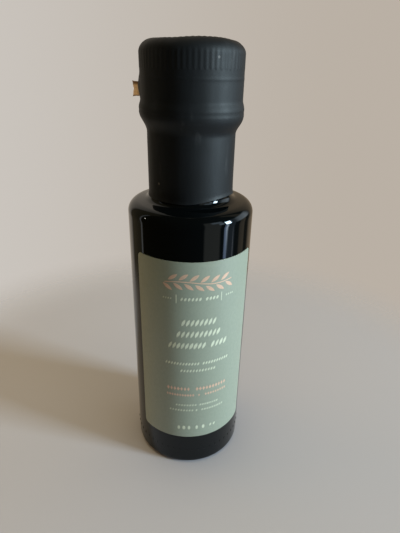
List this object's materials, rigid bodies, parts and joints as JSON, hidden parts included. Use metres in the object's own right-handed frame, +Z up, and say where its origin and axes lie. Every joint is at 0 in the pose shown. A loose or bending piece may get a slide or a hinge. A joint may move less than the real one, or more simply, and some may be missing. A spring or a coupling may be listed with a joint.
{
  "type": "olive oil bottle",
  "caption": "Small round dark glass bottle with a rounded shoulder, a black shrunk film capsule over its screw closure, a gold tear strip end and a plain sage paper label.",
  "frame": {"origin": "middle of the base, on the plane the bottle stands on", "axes": "+Z up along the bottle's axis, with the label centred on -Y and the tear strip's end on the -X side"},
  "size_m": [0.043, 0.0432, 0.1538],
  "materials": {
    "dark_glass": "glossy dark glass, filled, so that it looks nearly black",
    "black_film": "satin shrunk film",
    "gold_strip": "satin gold tape",
    "label_paper": "matt uncoated paper"
  },
  "bodies": {
    "root": {"bottle": "dark_glass", "capsule": "black_film", "tear_tab": "gold_strip", "label": "label_paper"}
  },
  "joints": []
}
